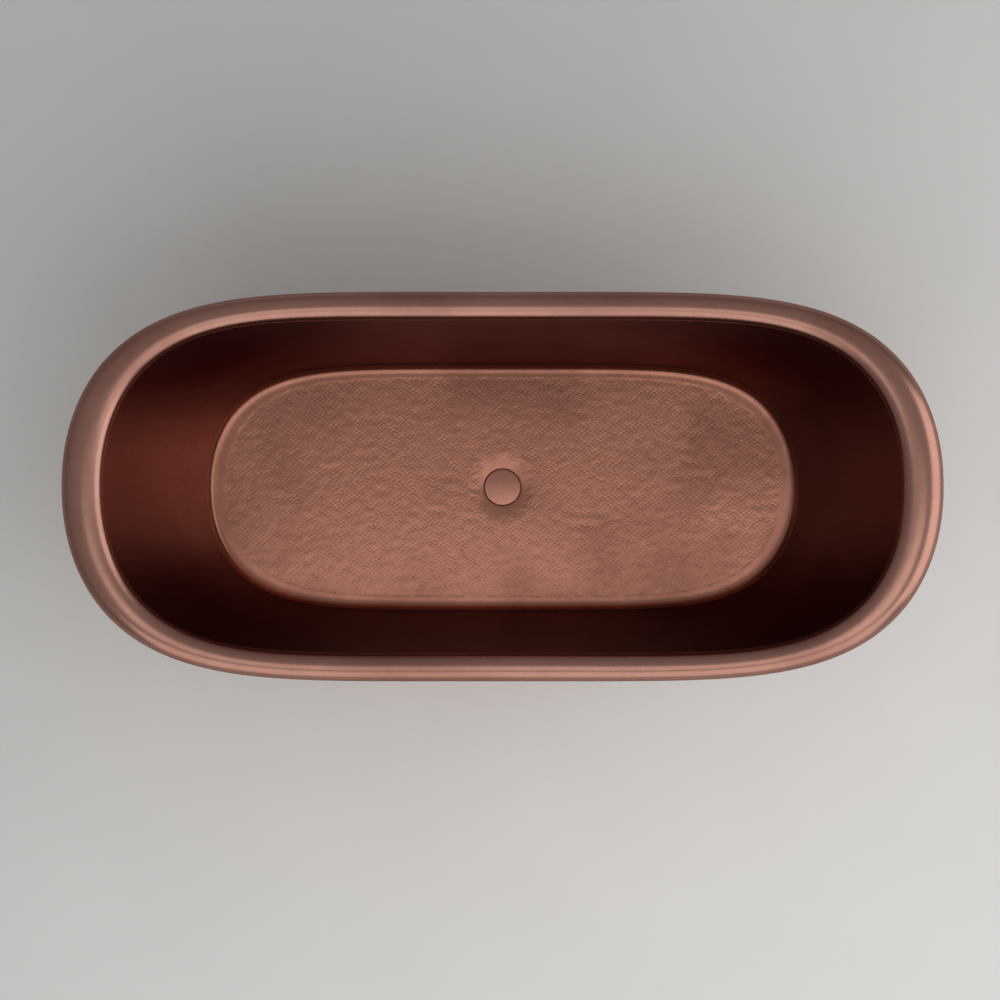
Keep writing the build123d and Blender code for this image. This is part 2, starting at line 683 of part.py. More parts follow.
with BuildPart() as tail_pipe:
    with BuildSketch(Plane.XY.offset(TAIL_GROUND_GAP)):
        Circle(TAIL_PIPE / 2)
    extrude(amount=TAIL_NECK_BOTTOM - TAIL_GROUND_GAP)
    with BuildSketch(Plane.XY.offset(TAIL_NECK_BOTTOM)):
        Circle(TAIL_NECK / 2)
    extrude(amount=TAIL_TOP - TAIL_NECK_BOTTOM)
    with Locations((0, 0, TAIL_TOP)):
        Hole(TAIL_PIPE / 2 - TAIL_WALL)
save(tail_pipe, "tail_pipe")

tail_hole = TAIL_PIPE + 2 * HOLE_GAP
neck_hole = TAIL_NECK + 2 * FIT_GAP
save(collar_ring(WASTE_BOTTOM, -TAIL_SEAL_THICKNESS, WASTE_THREAD - HOLE_GAP, neck_hole), "tail_seal")

with BuildPart() as tail_nut:
    with BuildSketch(Plane.XY.offset(WASTE_BOTTOM + TAIL_NUT_GRIP)):
        RegularPolygon(TAIL_NUT_FLATS / 2, 6, major_radius=False)
    extrude(amount=TAIL_NUT_BOTTOM - WASTE_BOTTOM - TAIL_NUT_GRIP)
    with Locations((0, 0, WASTE_BOTTOM + TAIL_NUT_GRIP)):
        Hole(tail_hole / 2)
        Hole(thread_hole / 2, TAIL_NUT_GRIP + TAIL_SEAL_THICKNESS)
save(tail_nut, "tail_nut")

# Plug: guide on the tail pipe, stem with collar and clip, spring, seal and cap

with BuildPart() as plug_guide:
    with BuildSketch(Plane.XY.offset(TAIL_TOP)):
        Circle(GUIDE_HUB / 2)
    extrude(amount=GUIDE_HUB_HEIGHT)
    with BuildSketch(Plane.XY.offset(TAIL_TOP)):
        spoke = WASTE_BORE / 2 - FIT_GAP
        with PolarLocations(spoke / 2, GUIDE_SPOKES):
            Rectangle(spoke, GUIDE_SPOKE_WIDTH)
        Circle(WASTE_BORE / 2 - FIT_GAP, mode=Mode.INTERSECT)
    extrude(amount=GUIDE_SPOKE_HEIGHT)
    with Locations((0, 0, HUB_TOP)):
        Hole(STEM / 2 + RUNNING_GAP)
save(plug_guide, "plug_guide")

with BuildPart() as plug_stem:
    with BuildSketch(Plane.XY.offset(STEM_BOTTOM)):
        Circle(STEM / 2)
    extrude(amount=CAP_UNDERSIDE - STEM_BOTTOM)
    with BuildSketch(Plane.XY.offset(COLLAR_BOTTOM)):
        Circle(STEM_COLLAR / 2)
    extrude(amount=STEM_COLLAR_HEIGHT)
save(plug_stem, "plug_stem")

save(collar_ring(STEM_BOTTOM + CLIP_INSET, CLIP_THICKNESS, CLIP_DIAMETER, STEM + 2 * FIT_GAP), "plug_clip")
save(collar_ring(HUB_TOP, COLLAR_BOTTOM - HUB_TOP, SPRING_OUTER, STEM + 2 * HOLE_GAP), "plug_spring")
save(collar_ring(CAP_UNDERSIDE, -PLUG_SEAL_THICKNESS, PLUG_SEAL_OUTER, PLUG_SEAL_INNER), "plug_seal")

with BuildPart() as plug_cap:
    with BuildSketch(Plane.XZ):
        with BuildLine():
            edge = CAP_DIAMETER / 2
            edge_top = CAP_UNDERSIDE + CAP_EDGE
            crown = edge_top + CAP_CROWN
            ThreePointArc((-edge, edge_top), (0, crown), (edge, edge_top))
            Polyline((edge, edge_top), (edge, CAP_UNDERSIDE), (-edge, CAP_UNDERSIDE), (-edge, edge_top))
        make_face()
        split(bisect_by=Plane.YZ, keep=Keep.TOP)
    revolve(axis=Axis.Z)
save(plug_cap, "plug_cap")
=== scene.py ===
# %% [markdown]
# # A copper bath with a rolled rim
# The bath is a double-walled tub: a basin inside, a shell outside, and a fat rolled rim that
# joins the two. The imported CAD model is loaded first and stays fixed. Every piece made below
# sits in the same frame, in metres, with the floor at zero and the tub's length along X.

# %% Load the frame
import math

import bmesh
import bpy
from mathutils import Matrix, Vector, noise


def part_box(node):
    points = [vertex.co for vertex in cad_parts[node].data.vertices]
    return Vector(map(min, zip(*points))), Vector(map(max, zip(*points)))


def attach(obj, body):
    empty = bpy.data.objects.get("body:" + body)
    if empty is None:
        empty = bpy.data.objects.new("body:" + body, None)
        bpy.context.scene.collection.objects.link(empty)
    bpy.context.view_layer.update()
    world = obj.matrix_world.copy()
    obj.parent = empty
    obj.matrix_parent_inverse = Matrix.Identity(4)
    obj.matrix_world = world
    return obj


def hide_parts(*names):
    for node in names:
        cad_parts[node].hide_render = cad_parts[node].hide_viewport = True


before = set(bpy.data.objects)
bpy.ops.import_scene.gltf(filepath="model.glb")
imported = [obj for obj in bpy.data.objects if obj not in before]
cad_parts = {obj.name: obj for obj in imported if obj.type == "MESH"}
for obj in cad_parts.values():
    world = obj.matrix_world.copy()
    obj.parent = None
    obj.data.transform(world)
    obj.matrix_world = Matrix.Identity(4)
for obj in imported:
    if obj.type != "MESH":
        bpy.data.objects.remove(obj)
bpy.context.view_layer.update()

# %% [markdown]
# ## The oval
# Seen from above, the rim, the basin and the shell are all the same kind of oval: long gentle
# sides and full rounded ends. A plain ellipse is too pointed, so the oval is a superellipse
# with a higher power along the length. The same points go round every loop, so that one loop
# can be joined to the next without a twist. They stand closer together along the sides.

# %% Stations round the oval
rim_low, rim_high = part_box("rim_roll")
RIM_LENGTH = rim_high.x - rim_low.x
RIM_WIDTH = rim_high.y - rim_low.y
SIDE_POWER = 2.1
BODY_POWER = 5.5
QUARTER = 80

angles = [math.pi / 2 * (1 - (1 - step / QUARTER) ** 2) for step in range(QUARTER + 1)]
stations = [(angle, 1, 1) for angle in angles[:-1]]
stations += [(angle, -1, 1) for angle in angles[:0:-1]]
stations += [(angle, -1, -1) for angle in angles[:-1]]
stations += [(angle, 1, -1) for angle in angles[:0:-1]]


def oval(length, width, power, station):
    """Point of an oval at a station, which is an angle and the signs of its quarter."""
    angle, side_x, side_y = station
    x = length / 2 * max(math.cos(angle), 0) ** (2 / power)
    y = width / 2 * math.sin(angle) ** (2 / SIDE_POWER)
    return Vector((side_x * x, side_y * y, 0))


print("stations round a loop:", len(stations), "rim", round(RIM_LENGTH, 4), round(RIM_WIDTH, 4))

# %% [markdown]
# ## The sheer
# The rim isn't level. It rises from the middle of the sides to both ends in a shallow arc,
# which boat builders call sheer. One circle through the two ends and the middle gives it.

# %% Height of the rim
SIDE_TOP = 0.600
END_TOP = rim_high.z
ROLL_END_WIDTH = 0.080
ROLL_SIDE_WIDTH = 0.055
ROLL_DROP = 0.0275
nose_x = (RIM_LENGTH - ROLL_END_WIDTH) / 2
sheer_rise = END_TOP - SIDE_TOP
sheer_radius = (nose_x**2 + sheer_rise**2) / (2 * sheer_rise)


def rim_top(x):
    """Height of the top of the rim at a place along the length."""
    return SIDE_TOP + sheer_radius - math.sqrt(sheer_radius**2 - x**2)


print("rim height at the side and at the nose:", rim_top(0), round(rim_top(nose_x), 4))

# %% [markdown]
# ## Growing a skin from loops
# Most of the tub is a sheet that runs all the way round. Such a sheet could be a lofted
# surface, but with mesh operators it is simpler to start from one circle of edges and extrude
# it again and again. Each vertex carries the number of its station, and extrusion copies it,
# so every new vertex knows where on the next loop it belongs. When the last loop lands on the
# first one, merging the doubles closes the section.

# %% Skin and finish helpers
SHARP_EDGE = math.radians(40)
MERGE_DISTANCE = 1e-6


def grow_row(shape, edges, place):
    """Extrude a loop of edges once and put its new vertices in place."""
    grown = bmesh.ops.extrude_edge_only(shape, edges=edges)["geom"]
    for vertex in [part for part in grown if isinstance(part, bmesh.types.BMVert)]:
        vertex.co = place(vertex)
    return [part for part in grown if isinstance(part, bmesh.types.BMEdge) and part.is_boundary]


def skin(rows):
    """Closed skin through rows of loops. A row gives a point for each station."""
    shape = bmesh.new()
    number = shape.verts.layers.int.new("station")
    start = bmesh.ops.create_circle(shape, segments=len(stations), radius=1)["verts"]
    for index, vertex in enumerate(start):
        vertex[number] = index
        vertex.co = rows[0](stations[index])
    edges = shape.edges[:]
    for row in rows[1:] + rows[:1]:
        edges = grow_row(shape, edges, lambda vertex: row(stations[vertex[number]]))
    bmesh.ops.remove_doubles(shape, verts=shape.verts, dist=MERGE_DISTANCE)
    return shape


def finish_piece(name, shape, nodes, body):
    """Turn a shape into a smooth piece that stands for CAD nodes and moves with a body."""
    bmesh.ops.recalc_face_normals(shape, faces=shape.faces)
    mesh = bpy.data.meshes.new(name)
    shape.to_mesh(mesh)
    shape.free()
    mesh.shade_smooth()
    mesh.set_sharp_from_angle(angle=SHARP_EDGE)
    piece = bpy.data.objects.new(name, mesh)
    bpy.context.collection.objects.link(piece)
    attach(piece, body)
    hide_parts(*nodes)
    print(name, "faces", len(mesh.polygons), "size", [round(side, 4) for side in piece.dimensions])
    return piece


# %% [markdown]
# ## The rolled rim
# The sheet is turned over at the top into a thick hollow roll, wider at the two ends than
# along the sides. It could be a curve with a bevel, but a bevel has one width. Here each loop
# of the skin is one line along the roll, a little further round its oval section than the last.

# %% Rolled rim
RIM_OUTER_POWER = 5.0
RIM_INNER_POWER = 5.8
ROLL_LINES = 72
MOUTH_LENGTH = RIM_LENGTH - 2 * ROLL_END_WIDTH
MOUTH_WIDTH = RIM_WIDTH - 2 * ROLL_SIDE_WIDTH


def roll_line(turn):
    """Line along the roll at a turn round its section."""

    def place(station):
        outer = oval(RIM_LENGTH, RIM_WIDTH, RIM_OUTER_POWER, station)
        inner = oval(MOUTH_LENGTH, MOUTH_WIDTH, RIM_INNER_POWER, station)
        middle = (outer + inner) / 2
        point = middle + (outer - inner) / 2 * math.cos(turn)
        point.z = rim_top(middle.x) - ROLL_DROP + ROLL_DROP * math.sin(turn)
        return point

    return place


roll_rows = [roll_line(2 * math.pi * line / ROLL_LINES) for line in range(ROLL_LINES)]
rolled_rim = finish_piece("rolled_rim", skin(roll_rows), ["rim_roll"], "tub")

# %% [markdown]
# ## The basin wall
# The wall leans outwards from the coved floor, with a slight belly, and runs up into the inner
# side of the roll so smoothly that no step shows. Its last loop ends just inside the roll, where
# it can't be seen. Inner and outer loops give it the thickness of the CAD sheet. The CAD parts
# the wall into six sheets, and one skin stands for all of them here.

# %% Basin wall
FLOOR_TOP = 0.150
FLOOR_LENGTH = 1.166
FLOOR_WIDTH = 0.466
COVE_END_RUN = 0.018
COVE_SIDE_RUN = 0.016
COVE_RISE = 0.020
COVE_ANGLE = math.radians(73)
SEAM_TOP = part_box("basin_floor")[1].z
BASIN_SHEET = 0.002
WALL_PROUD = (0.0005, 0.0001)
SEAM_LIFT = 0.0003
WALL_TOP = 1.0105
WALL_BELLY = (0.020, 0.010)
WALL_ROWS = 24

cove_top = FLOOR_TOP + COVE_RISE * (1 - math.cos(COVE_ANGLE))


def cove_point(station, share, outset):
    """Point of the cove, a share of the way from the floor's edge to the wall's foot."""
    lean = COVE_ANGLE * share
    length = FLOOR_LENGTH + 2 * (COVE_END_RUN + outset) * math.sin(lean)
    width = FLOOR_WIDTH + 2 * (COVE_SIDE_RUN + outset) * math.sin(lean)
    point = oval(length, width, BODY_POWER, station)
    point.z = FLOOR_TOP + COVE_RISE - (COVE_RISE + outset) * math.cos(lean)
    return point


def bowed_wall(station, height_share, low, foot, head, head_power, belly):
    """Point of a bowed wall between a foot oval and the middle of the roll."""
    bottom = oval(*foot, BODY_POWER, station)
    top = oval(*head, head_power, station)
    bow = math.sin(math.pi * min(height_share, 1))
    point = bottom + (top - bottom) * height_share + oval(*belly, BODY_POWER, station) * bow
    point.z = low + (rim_top(top.x) - ROLL_DROP - low) * height_share
    return point


def basin_point(station, height_share, outset):
    """Point of the basin wall, from the top of the cove to the middle of the roll."""
    foot = cove_point((0, 1, 1), 1, outset).x * 2, cove_point((math.pi / 2, 1, 1), 1, outset).y * 2
    head = MOUTH_LENGTH + 2 * (outset - WALL_PROUD[0]), MOUTH_WIDTH + 2 * (outset - WALL_PROUD[1])
    return bowed_wall(station, height_share, cove_top, foot, head, RIM_INNER_POWER, WALL_BELLY)


def basin_row(row_share, outset):
    """Loop of the basin wall above its seam with the floor pan."""

    def place(station):
        top = basin_point(station, 1, outset).z
        seam = (SEAM_TOP + SEAM_LIFT - cove_top) / (top - cove_top)
        return basin_point(station, seam + (WALL_TOP - seam) * row_share, outset)

    return place


basin_rows = [basin_row(row / WALL_ROWS, 0) for row in range(WALL_ROWS + 1)]
basin_rows += [basin_row(row / WALL_ROWS, BASIN_SHEET) for row in range(WALL_ROWS, -1, -1)]
sheets = [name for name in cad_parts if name.startswith("basin_") and name != "basin_floor"]
bath_wall = finish_piece("bath_wall", skin(basin_rows), sheets, "tub")

# %% [markdown]
# The wall is painted darker where it turns the four corners, as shade in the basin's hollows. A
# number on each vertex says how far into a corner it is, and the wall's finish reads it to darken and
# dull the copper.

# %% Painted shade in the corners
# Where the painted corner shade begins and where it is full
CORNER = (0.03, 0.17)


def ease(value, low, high):
    """Smooth step from 0 at low to 1 at high."""
    share = min(max((value - low) / (high - low), 0), 1)
    return share * share * (3 - 2 * share)


# Each vertex gets how much painted shade it carries in the corners
patina = bath_wall.data.attributes.new("patina", "FLOAT", "POINT")
for vertex in bath_wall.data.vertices:
    patina.data[vertex.index].value = ease(abs(vertex.co.x * vertex.co.y), *CORNER)
print("patina on vertices:", len(patina.data))

# %% [markdown]
# ## The hammered floor
# The floor pan is hammered, so it is covered in small shallow dents. A bump map
# would look flat at its edges and in strong light, so the dents are real: a fine grid, cut to
# the oval, with four cells from one dent to the next in its row. Two waves, one along and one
# across, are multiplied, so that dents and raised spots alternate as on a chessboard. A hammer
# never strikes that evenly, so the depths vary and the vertices wander a little. The dents fade
# out before the cove and round the drain. Four-sided cells would all be split along the same
# diagonal, which shows as stripes, so each is split across the corner where a dent or a raised
# spot has its middle.

# %% Floor grid cut to the oval
CELLS_LONG = 432
CELLS_WIDE = 216
CELLS_PER_DENT = 4
HOLE_RADIUS = 0.026
CELL = FLOOR_LENGTH / CELLS_LONG
EDGE_ROOM = 0.4 * CELL
FLATTEST_SLOPE = 2.0


def oval_level(x, y, length=FLOOR_LENGTH, width=FLOOR_WIDTH):
    """Below 1 inside an oval, the floor's outline if none is given, and 1 on it."""
    return abs(2 * x / length) ** BODY_POWER + abs(2 * y / width) ** SIDE_POWER


def oval_slope(x, y, length=FLOOR_LENGTH, width=FLOOR_WIDTH):
    """How fast the level grows, along X and along Y."""
    along = 2 * BODY_POWER / length * abs(2 * x / length) ** (BODY_POWER - 1)
    across = 2 * SIDE_POWER / width * abs(2 * y / width) ** (SIDE_POWER - 1)
    return Vector((math.copysign(along, x), math.copysign(across, y), 0))


def edge_distance(x, y, length=FLOOR_LENGTH, width=FLOOR_WIDTH):
    """Rough distance inside an oval's outline."""
    slope = oval_slope(x, y, length, width).length
    return (1 - oval_level(x, y, length, width)) / max(slope, FLATTEST_SLOPE)


pan = bmesh.new()
bmesh.ops.create_grid(pan, x_segments=CELLS_LONG, y_segments=CELLS_WIDE, size=0.5)
bmesh.ops.scale(pan, vec=(FLOOR_LENGTH, FLOOR_WIDTH, 1), verts=pan.verts)
outside = [v for v in pan.verts if edge_distance(v.co.x, v.co.y) < EDGE_ROOM]
inside = [v for v in pan.verts if v.co.length < HOLE_RADIUS + EDGE_ROOM]
bmesh.ops.delete(pan, geom=outside + inside, context="VERTS")
lone = [v for v in pan.verts if not v.link_faces]
bmesh.ops.delete(pan, geom=lone, context="VERTS")
print("floor cells kept:", len(pan.faces))

# %% Split the cells round the dents


def on_middle(vertex):
    """True on every second grid line both ways, where a dent or a raised spot has its middle."""
    column = round((vertex.co.x / FLOOR_LENGTH + 0.5) * CELLS_LONG)
    row = round((vertex.co.y / FLOOR_WIDTH + 0.5) * CELLS_WIDE)
    return column % 2 == 0 and row % 2 == 0


cells = {"FIXED": [], "ALTERNATE": []}
for face in pan.faces:
    corner = [on_middle(vertex) for vertex in face.verts].index(True)
    cells["FIXED" if corner % 2 else "ALTERNATE"].append(face)
for way, faces in cells.items():
    bmesh.ops.triangulate(pan, faces=faces, quad_method=way)
print("floor triangles:", len(pan.faces))

# %% Snap the two edges of the grid
SNAP_STEPS = 6
NEAR_DRAIN = 0.1

angle_of = pan.verts.layers.float.new("angle")
borders = [edge for edge in pan.edges if edge.is_boundary]
outline = [edge for edge in borders if edge.verts[0].co.length > NEAR_DRAIN]
hole = [edge for edge in borders if edge.verts[0].co.length < NEAR_DRAIN]
for vertex in {vertex for edge in outline for vertex in edge.verts}:
    for _ in range(SNAP_STEPS):
        slope = oval_slope(vertex.co.x, vertex.co.y)
        vertex.co -= slope * ((oval_level(vertex.co.x, vertex.co.y) - 1) / slope.length_squared)
    side = abs(2 * vertex.co.y / FLOOR_WIDTH) ** (SIDE_POWER / 2)
    vertex[angle_of] = math.atan2(side, abs(2 * vertex.co.x / FLOOR_LENGTH) ** (BODY_POWER / 2))
for vertex in {vertex for edge in hole for vertex in edge.verts}:
    vertex.co = vertex.co.normalized() * HOLE_RADIUS
print("edges on the outline and round the drain:", len(outline), len(hole))

# %% Dents and the drain dish
DENT_LONG = CELLS_PER_DENT * CELL
DENT_WIDE = CELLS_PER_DENT * FLOOR_WIDTH / CELLS_WIDE
DENT_DEPTH = 0.0003
DENT_FADE = 0.006
HAMMERED = (1.134, 0.450)
DRAIN_FADE = (0.041, 0.051)
FORCE_PACE = 0.6
STRAY_FADE = (0.045, 0.060)
STRAY_REACH = 0.5
STRAY_SLOW = 0.4
STRAY_QUICK = 0.8
DISH_DEPTH = 0.005
DISH_FLAT = 0.0335
DISH_EDGE = 0.075


def dent(x, y):
    """Depth of the hammer marks, which stand in staggered rows."""
    force = 1 + noise.noise(Vector((FORCE_PACE * x / DENT_LONG, FORCE_PACE * y / DENT_WIDE, 7)))
    waves = math.cos(2 * math.pi * x / DENT_LONG) * math.cos(2 * math.pi * y / DENT_WIDE)
    return DENT_DEPTH * force * (1 + waves)


def stray(x, y):
    """How far the marks stray from their rows."""
    along = noise.noise(Vector((STRAY_SLOW * x / DENT_LONG, STRAY_QUICK * y / DENT_WIDE, 9)))
    across = noise.noise(Vector((STRAY_QUICK * x / DENT_LONG, STRAY_SLOW * y / DENT_WIDE, 5)))
    return Vector((STRAY_REACH * DENT_LONG * along, STRAY_REACH * DENT_WIDE * across, 0))


for vertex in pan.verts:
    x, y = vertex.co.x, vertex.co.y
    reach = math.hypot(x, y)
    fade = ease(edge_distance(x, y, *HAMMERED), 0, DENT_FADE) * ease(reach, *DRAIN_FADE)
    slope = min(max((DISH_EDGE - reach) / (DISH_EDGE - DISH_FLAT), 0), 1)
    vertex.co += fade * ease(reach, *STRAY_FADE) * stray(x, y)
    vertex.co.z = FLOOR_TOP - fade * dent(x, y) - DISH_DEPTH * slope * slope
print("lowest point of the pan:", round(min(v.co.z for v in pan.verts), 5))

# %% Cove, lip and underside of the pan
COVE_ROWS = 5
UNDER_ROWS = (COVE_ROWS, 2, 0)
LIP_ROWS = 1


def on_pan(vertex):
    """Station of a vertex on the outline."""
    return vertex[angle_of], math.copysign(1, vertex.co.x), math.copysign(1, vertex.co.y)


def lip_point(station, row_share, outset):
    """Point of the pan's upturned lip, which meets the wall at the seam."""
    top = basin_point(station, 1, outset).z
    return basin_point(station, (SEAM_TOP - cove_top) / (top - cove_top) * row_share, outset)


edges = outline
for row in range(1, COVE_ROWS + 1):
    edges = grow_row(pan, edges, lambda v: cove_point(on_pan(v), row / COVE_ROWS, 0))
for row in range(1, LIP_ROWS + 1):
    edges = grow_row(pan, edges, lambda v: lip_point(on_pan(v), row / LIP_ROWS, 0))
for row in range(LIP_ROWS, 0, -1):
    edges = grow_row(pan, edges, lambda v: lip_point(on_pan(v), row / LIP_ROWS, BASIN_SHEET))
for row in UNDER_ROWS:
    edges = grow_row(pan, edges, lambda v: cove_point(on_pan(v), row / COVE_ROWS, BASIN_SHEET))


def ring_point(vertex, reach, level):
    """Place of a vertex on a ring round the drain."""
    point = Vector((vertex.co.x, vertex.co.y, 0)).normalized() * reach
    point.z = level
    return point


under = hole
pan_under = FLOOR_TOP - BASIN_SHEET
dish_under = pan_under - DISH_DEPTH
for reach, level in ((HOLE_RADIUS, dish_under), (DISH_FLAT, dish_under), (DISH_EDGE, pan_under)):
    under = grow_row(pan, under, lambda v: ring_point(v, reach, level))
bmesh.ops.bridge_loops(pan, edges=edges + under)
bmesh.ops.triangulate(pan, faces=[face for face in pan.faces if len(face.verts) > 4])
hammered_floor = finish_piece("hammered_floor", pan, ["basin_floor"], "tub")

# %% [markdown]
# ## The outer shell
# The outside is two half sheets that meet at the two noses. A full skin is made twice and cut
# down the middle with bisect_plane, and the cut ends are filled, so that each half is a solid
# sheet with its own seam edge.

# %% Two shell halves
SHELL_SHEET = 0.0015
SHELL_TUCK = 0.016
SHELL_FOOT = (1.306, 0.550)
SHELL_BELLY = (0.052, 0.024)
SHELL_ROWS = 24
SEAM_GAP = 0.0003
SHELL_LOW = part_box("shell_front")[0].z


def shell_row(row_share, inset):
    """Loop of the shell from the top of its plinth to the middle of the roll."""
    foot = SHELL_FOOT[0] - 2 * inset, SHELL_FOOT[1] - 2 * inset
    head = RIM_LENGTH - 2 * (SHELL_TUCK + inset), RIM_WIDTH - 2 * (SHELL_TUCK + inset)

    def place(station):
        return bowed_wall(station, row_share, SHELL_LOW, foot, head, RIM_OUTER_POWER, SHELL_BELLY)

    return place


def shell_half(name, node, side):
    """Half of the shell, on one side of the tub's middle."""
    rows = [shell_row(row / SHELL_ROWS, 0) for row in range(SHELL_ROWS + 1)]
    rows += [shell_row(row / SHELL_ROWS, SHELL_SHEET) for row in range(SHELL_ROWS, -1, -1)]
    half = skin(rows)
    everything = half.verts[:] + half.edges[:] + half.faces[:]
    seam, outwards = (0, side * SEAM_GAP / 2, 0), (0, side, 0)
    bmesh.ops.bisect_plane(half, geom=everything, plane_co=seam, plane_no=outwards, clear_inner=True)
    bmesh.ops.holes_fill(half, edges=[edge for edge in half.edges if edge.is_boundary])
    return finish_piece(name, half, [node], "tub")


front_shell = shell_half("front_shell", "shell_front", -1)
back_shell = shell_half("back_shell", "shell_back", 1)

# %% [markdown]
# ## The plinth
# The tub stands on a flared skirt: a level band under the shell, an ogee curve and a short
# kick at the ground. Half a cosine wave gives the ogee. The band goes round the outside of the
# ring that carries the shell, and screws hold it there.

# %% Flared plinth
plinth_low, plinth_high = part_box("plinth")
PLINTH_FLARE = 0.036
PLINTH_KICK = 0.030
PLINTH_BAND = 0.016
OGEE_ROWS = 16


def plinth_row(height, flare, outset):
    """Loop of the plinth at a height."""

    def place(station):
        spread = 2 * (flare + outset)
        point = oval(SHELL_FOOT[0] + spread, SHELL_FOOT[1] + spread, BODY_POWER, station)
        point.z = height
        return point

    return place


ogee_low = plinth_low.z + PLINTH_KICK
ogee_high = plinth_high.z - PLINTH_BAND
outer_line = [(plinth_low.z, PLINTH_FLARE)]
for row in range(OGEE_ROWS + 1):
    rise = row / OGEE_ROWS
    flare = PLINTH_FLARE * (1 + math.cos(math.pi * rise)) / 2
    outer_line.append((ogee_low + (ogee_high - ogee_low) * rise, flare))
outer_line.append((plinth_high.z, 0))
plinth_rows = [plinth_row(height, flare, SEAM_GAP + SHELL_SHEET) for height, flare in outer_line]
plinth_rows += [plinth_row(height, flare, SEAM_GAP) for height, flare in reversed(outer_line)]
flared_plinth = finish_piece("flared_plinth", skin(plinth_rows), ["plinth"], "tub")

# %% [markdown]
# ## The drain cap
# A domed copper cap covers the drain and clicks up and down. It is round, so its profile is
# drawn as a few vertices and spun about the upright axis, and the poles are merged.

# %% Domed cap
cap_low, cap_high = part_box("plug_cap")
CAP_RADIUS = cap_high.x
CAP_CROWN = 0.0016
CAP_ROUND = 0.0011
CAP_CHAMFER = 0.0004
DOME_POINTS = 12
ROUND_POINTS = 4
CAP_STEPS = 96

cap_line = []
for step in range(DOME_POINTS + 1):
    reach = (CAP_RADIUS - CAP_ROUND) * step / DOME_POINTS
    cap_line.append((reach, cap_high.z - CAP_CROWN * (reach / CAP_RADIUS) ** 2))
shoulder = cap_line[-1][1]
for step in range(1, ROUND_POINTS + 1):
    lean = math.pi / 2 * step / ROUND_POINTS
    reach = CAP_RADIUS - CAP_ROUND * (1 - math.sin(lean))
    cap_line.append((reach, shoulder - CAP_ROUND * (1 - math.cos(lean))))
cap_line.append((CAP_RADIUS, cap_low.z + CAP_CHAMFER))
cap_line += [(CAP_RADIUS - CAP_CHAMFER, cap_low.z), (0, cap_low.z)]

cap = bmesh.new()
points = [cap.verts.new((reach, 0, height)) for reach, height in cap_line]
lines = [cap.edges.new(pair) for pair in zip(points, points[1:])]
bmesh.ops.spin(
    cap, geom=points + lines, cent=(0, 0, 0), axis=(0, 0, 1), angle=2 * math.pi,
    steps=CAP_STEPS, use_merge=True,
)
bmesh.ops.remove_doubles(cap, verts=cap.verts, dist=MERGE_DISTANCE)
drain_cap = finish_piece("drain_cap", cap, ["plug_cap"], "plug")

# %% [markdown]
# ## Tarnish, shared by the metals
# Old copper is never one colour. Cloudy brown patches lie over the brighter metal, with a
# fine mottle inside them, and tarnished places are duller. One node group makes the clouds,
# the mottle and the dullness, and each metal sets its own two colours and amounts.

# %% Tarnish node group


def new_group(name, inputs, outputs):
    """Shader node group with named sockets."""
    group = bpy.data.node_groups.new(name, "ShaderNodeTree")
    for label, kind, value in inputs:
        group.interface.new_socket(label, in_out="INPUT", socket_type=kind).default_value = value
    for label, kind in outputs:
        group.interface.new_socket(label, in_out="OUTPUT", socket_type=kind)
    return group


def add(tree, kind, **values):
    """Node with its options and the starting values of its sockets."""
    node = tree.nodes.new(kind)
    for name, value in values.items():
        if hasattr(node, name):
            setattr(node, name, value)
        else:
            node.inputs[name.replace("_", " ")].default_value = value
    return node


tarnish = new_group(
    "tarnish",
    [
        ("Clean", "NodeSocketColor", (0.5, 0.3, 0.2, 1)),
        ("Tarnished", "NodeSocketColor", (0.2, 0.1, 0.05, 1)),
        ("Cloud Scale", "NodeSocketFloat", 4.0),
        ("Cloud Amount", "NodeSocketFloat", 0.8),
        ("Mottle Scale", "NodeSocketFloat", 60.0),
        ("Mottle Amount", "NodeSocketFloat", 0.25),
        # Painted shade: darkens the colour like tarnish, used for the wall's painted corner shade
        ("Patina", "NodeSocketFloat", 0.0),
        ("Ripple Scale", "NodeSocketFloat", 26.0),
        ("Satin", "NodeSocketFloat", 0.3),
        ("Dull", "NodeSocketFloat", 0.45),
    ],
    [("Color", "NodeSocketColor"), ("Roughness", "NodeSocketFloat"), ("Ripple", "NodeSocketFloat")],
)
given = tarnish.nodes.new("NodeGroupInput")
made = tarnish.nodes.new("NodeGroupOutput")
where = add(tarnish, "ShaderNodeTexCoord")
clouds = add(tarnish, "ShaderNodeTexNoise", Detail=2.0, Roughness=0.45, Distortion=0.3)
cloud_mask = add(tarnish, "ShaderNodeMapRange", From_Min=0.42, From_Max=0.72)
cloud_mask.interpolation_type = "SMOOTHSTEP"
mottle = add(tarnish, "ShaderNodeTexNoise", Detail=3.0, Roughness=0.6)
mottle_mask = add(tarnish, "ShaderNodeMapRange", From_Min=0.35, From_Max=0.70)
both = add(tarnish, "ShaderNodeMath", operation="ADD", use_clamp=True)
aged = add(tarnish, "ShaderNodeMath", operation="ADD", use_clamp=True)
colour = add(tarnish, "ShaderNodeMix", data_type="RGBA")
gloss = add(tarnish, "ShaderNodeMapRange")
ripple = add(tarnish, "ShaderNodeTexNoise", Detail=1.0)
link = tarnish.links.new
for noise_node in (clouds, mottle, ripple):
    link(where.outputs["Object"], noise_node.inputs["Vector"])
link(given.outputs["Cloud Scale"], clouds.inputs["Scale"])
link(given.outputs["Mottle Scale"], mottle.inputs["Scale"])
link(given.outputs["Ripple Scale"], ripple.inputs["Scale"])
link(clouds.outputs["Fac"], cloud_mask.inputs["Value"])
link(given.outputs["Cloud Amount"], cloud_mask.inputs["To Max"])
link(mottle.outputs["Fac"], mottle_mask.inputs["Value"])
link(given.outputs["Mottle Amount"], mottle_mask.inputs["To Max"])
link(cloud_mask.outputs["Result"], both.inputs[0])
link(mottle_mask.outputs["Result"], both.inputs[1])
